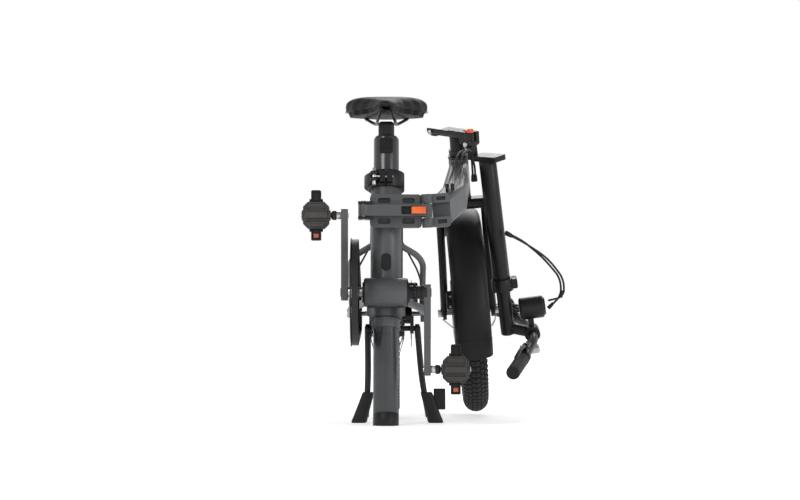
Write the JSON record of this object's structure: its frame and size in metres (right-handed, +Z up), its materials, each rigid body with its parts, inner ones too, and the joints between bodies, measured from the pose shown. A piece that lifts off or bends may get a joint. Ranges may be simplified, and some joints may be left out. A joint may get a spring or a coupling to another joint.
{
  "type": "folding bicycle",
  "caption": "Folding bicycle with small wheels, folded, resting on its seatpost and stand.",
  "frame": {"origin": "centre of the seatpost end cap's flat bottom face on the floor, bicycle folded", "axes": "+Z up, -Y is forward for the rear half, +X is the rear half's left side"},
  "size_m": [0.617, 1.028, 0.7425],
  "materials": {
    "frame_grey": "satin",
    "black_metal": "satin",
    "black_plastic": "matte",
    "polished_grey": "polished",
    "silver": "brushed",
    "tyre_rubber": "matte",
    "grip_rubber": "matte",
    "saddle_cover": "matte",
    "safety_orange": "gloss",
    "reflector_amber": "gloss",
    "pedal_plastic": "matte",
    "light_grey": "satin",
    "lamp_lens": "clear",
    "cable_black": "satin"
  },
  "bodies": {
    "handlepost": {"handlepost": "black_metal", "handlepost_fittings": "black_metal"},
    "post_clamp_lever": {"handlepost_clamp_lever": "black_metal"},
    "bar_assembly": {"inner_handlepost": "black_metal", "bar_stem": "black_metal", "handlebar": "black_metal", "grips": "grip_rubber", "brake_mounts": "black_metal", "headlight": "black_metal", "display_unit": "light_grey", "control_cables": "cable_black"},
    "brake_lever_left": {"brake_lever_left": "black_metal"},
    "brake_lever_right": {"brake_lever_right": "black_metal"},
    "stem_latch": {"stem_latch_lever": "black_metal", "stem_latch_safety_catch": "safety_orange"},
    "fork": {"fork": "black_metal", "fork_pins": "silver", "front_mudguard": "black_plastic", "front_brake_caliper": "black_metal", "stem_hinge_base": "black_metal"},
    "front_wheel": {"front_tyre": "tyre_rubber", "front_rim": "black_metal", "front_hub": "black_metal", "front_spokes": "silver"},
    "front_frame": {"front_hinge_lug": "frame_grey", "front_main_tube": "frame_grey", "head_tube": "frame_grey", "front_fittings": "black_metal", "frame_cables": "cable_black"},
    "rear_wheel": {"rear_tyre": "tyre_rubber", "rear_rim": "black_metal", "rear_hub": "black_metal", "rear_spokes": "silver"},
    "rear_pulley": {"rear_pulley": "black_metal"},
    "crank_set": {"crank_axles": "silver", "front_pulley": "black_metal", "pulley_guard": "black_metal", "crank_arms": "frame_grey"},
    "pedal_drive": {"pedal_drive": "pedal_plastic"},
    "pedal_left": {"pedal_left": "pedal_plastic"},
    "seatpost": {"seatpost": "polished_grey", "seatpost_end_cap": "black_plastic", "battery_port": "black_plastic", "saddle_clamp": "black_metal", "saddle_shell": "black_plastic", "saddle_cushion": "saddle_cover"},
    "seat_clamp_lever": {"seat_clamp_lever": "black_metal"},
    "main_latch": {"main_latch_lever": "frame_grey"},
    "latch_slider": {"main_latch_safety_slider": "safety_orange"},
    "kickstand": {"kickstand_legs": "black_metal", "kickstand_feet": "black_plastic"},
    "rear_frame": {"rear_frame_tube": "frame_grey", "rear_brake_caliper": "black_metal", "drive_belt": "cable_black", "seat_clamp_collar": "black_metal", "frame_pins": "silver", "rear_stays": "frame_grey", "rear_mudguard": "black_plastic", "frame_brackets": "black_metal", "frame_fittings": "black_metal"}
  },
  "joints": [
    {"name": "main_fold", "type": "hinge", "parent": "rear_frame", "child": "front_frame", "pos_m": [0.092, 0.058, 0.475], "axis": [-0.0401, 0, 0.9992], "range_deg": [-180, 0]},
    {"name": "main_latch_swing", "type": "hinge", "parent": "rear_frame", "child": "main_latch", "pos_m": [-0.05, 0.04, 0.4755], "axis": [0, 0, 1], "range_deg": [-100, 0]},
    {"name": "latch_slider_travel", "type": "slide", "parent": "main_latch", "child": "latch_slider", "axis": [-1, 0, 0], "range_m": [0, 0.012]},
    {"name": "seatpost_slide", "type": "slide", "parent": "rear_frame", "child": "seatpost", "axis": [0, 0.2588, 0.9659], "range_m": [0, 0.28]},
    {"name": "seat_clamp_swing", "type": "hinge", "parent": "rear_frame", "child": "seat_clamp_lever", "pos_m": [-0.027, 0.10418, 0.55495], "axis": [0, 0.2588, 0.9659], "range_deg": [0, 100]},
    {"name": "crank_spin", "type": "hinge", "parent": "rear_frame", "child": "crank_set", "pos_m": [0, 0.02, 0.293], "axis": [1, 0, 0], "range_deg": [-175, 130]},
    {"name": "rear_pulley_spin", "type": "hinge", "parent": "rear_frame", "child": "rear_pulley", "pos_m": [-0.067, 0.448, 0.25], "axis": [1, 0, 0], "continuous": true},
    {"name": "pedal_drive_spin", "type": "hinge", "parent": "crank_set", "child": "pedal_drive", "pos_m": [-0.15, 0.02, 0.463], "axis": [1, 0, 0], "continuous": true},
    {"name": "pedal_left_spin", "type": "hinge", "parent": "crank_set", "child": "pedal_left", "pos_m": [0.15, 0.02, 0.123], "axis": [1, 0, 0], "continuous": true},
    {"name": "rear_wheel_spin", "type": "hinge", "parent": "rear_frame", "child": "rear_wheel", "pos_m": [0, 0.448, 0.25], "axis": [1, 0, 0], "continuous": true},
    {"name": "kickstand_swing", "type": "hinge", "parent": "rear_frame", "child": "kickstand", "pos_m": [0.014, 0.15, 0.214], "axis": [1, 0, 0], "range_deg": [0, 72]},
    {"name": "steering", "type": "hinge", "parent": "front_frame", "child": "fork", "pos_m": [0.17973, 0.55201, 0.53172], "axis": [-0.0763, -0.309, 0.948], "range_deg": [-3, 35]},
    {"name": "front_wheel_spin", "type": "hinge", "parent": "fork", "child": "front_wheel", "pos_m": [0.20175, 0.678, 0.2581], "axis": [-0.9968, 0, -0.0802], "continuous": true},
    {"name": "handlepost_fold", "type": "hinge", "parent": "fork", "child": "handlepost", "pos_m": [0.20206, 0.47688, 0.65987], "axis": [-0.6873, -0.6725, -0.2745], "range_deg": [0, 176]},
    {"name": "stem_latch_swing", "type": "hinge", "parent": "fork", "child": "stem_latch", "pos_m": [0.10671, 0.51153, 0.68986], "axis": [-0.6873, -0.6725, -0.2745], "range_deg": [0, 100]},
    {"name": "handlepost_telescope", "type": "slide", "parent": "handlepost", "child": "bar_assembly", "axis": [0.1265, 0.2614, -0.9569], "range_m": [0, 0.12]},
    {"name": "post_clamp_swing", "type": "hinge", "parent": "handlepost", "child": "post_clamp_lever", "pos_m": [0.30837, 0.55293, 0.33103], "axis": [0.0198, -0.9651, -0.261], "range_deg": [0, 60]},
    {"name": "brake_lever_left_pull", "type": "hinge", "parent": "bar_assembly", "child": "brake_lever_left", "pos_m": [0.32635, 0.37927, 0.16967], "axis": [-0.9539, 0.2053, 0.2188], "range_deg": [-8, 0], "stiffness_Nm_per_rad": 2},
    {"name": "brake_lever_right_pull", "type": "hinge", "parent": "bar_assembly", "child": "brake_lever_right", "pos_m": [0.31875, 0.75004, 0.26993], "axis": [0.9431, 0.3238, -0.0757], "range_deg": [-8, 0], "stiffness_Nm_per_rad": 2}
  ],
  "couplings": [
    {"joint": "rear_pulley_spin", "follows": "crank_spin", "ratio": 3.0541}
  ]
}
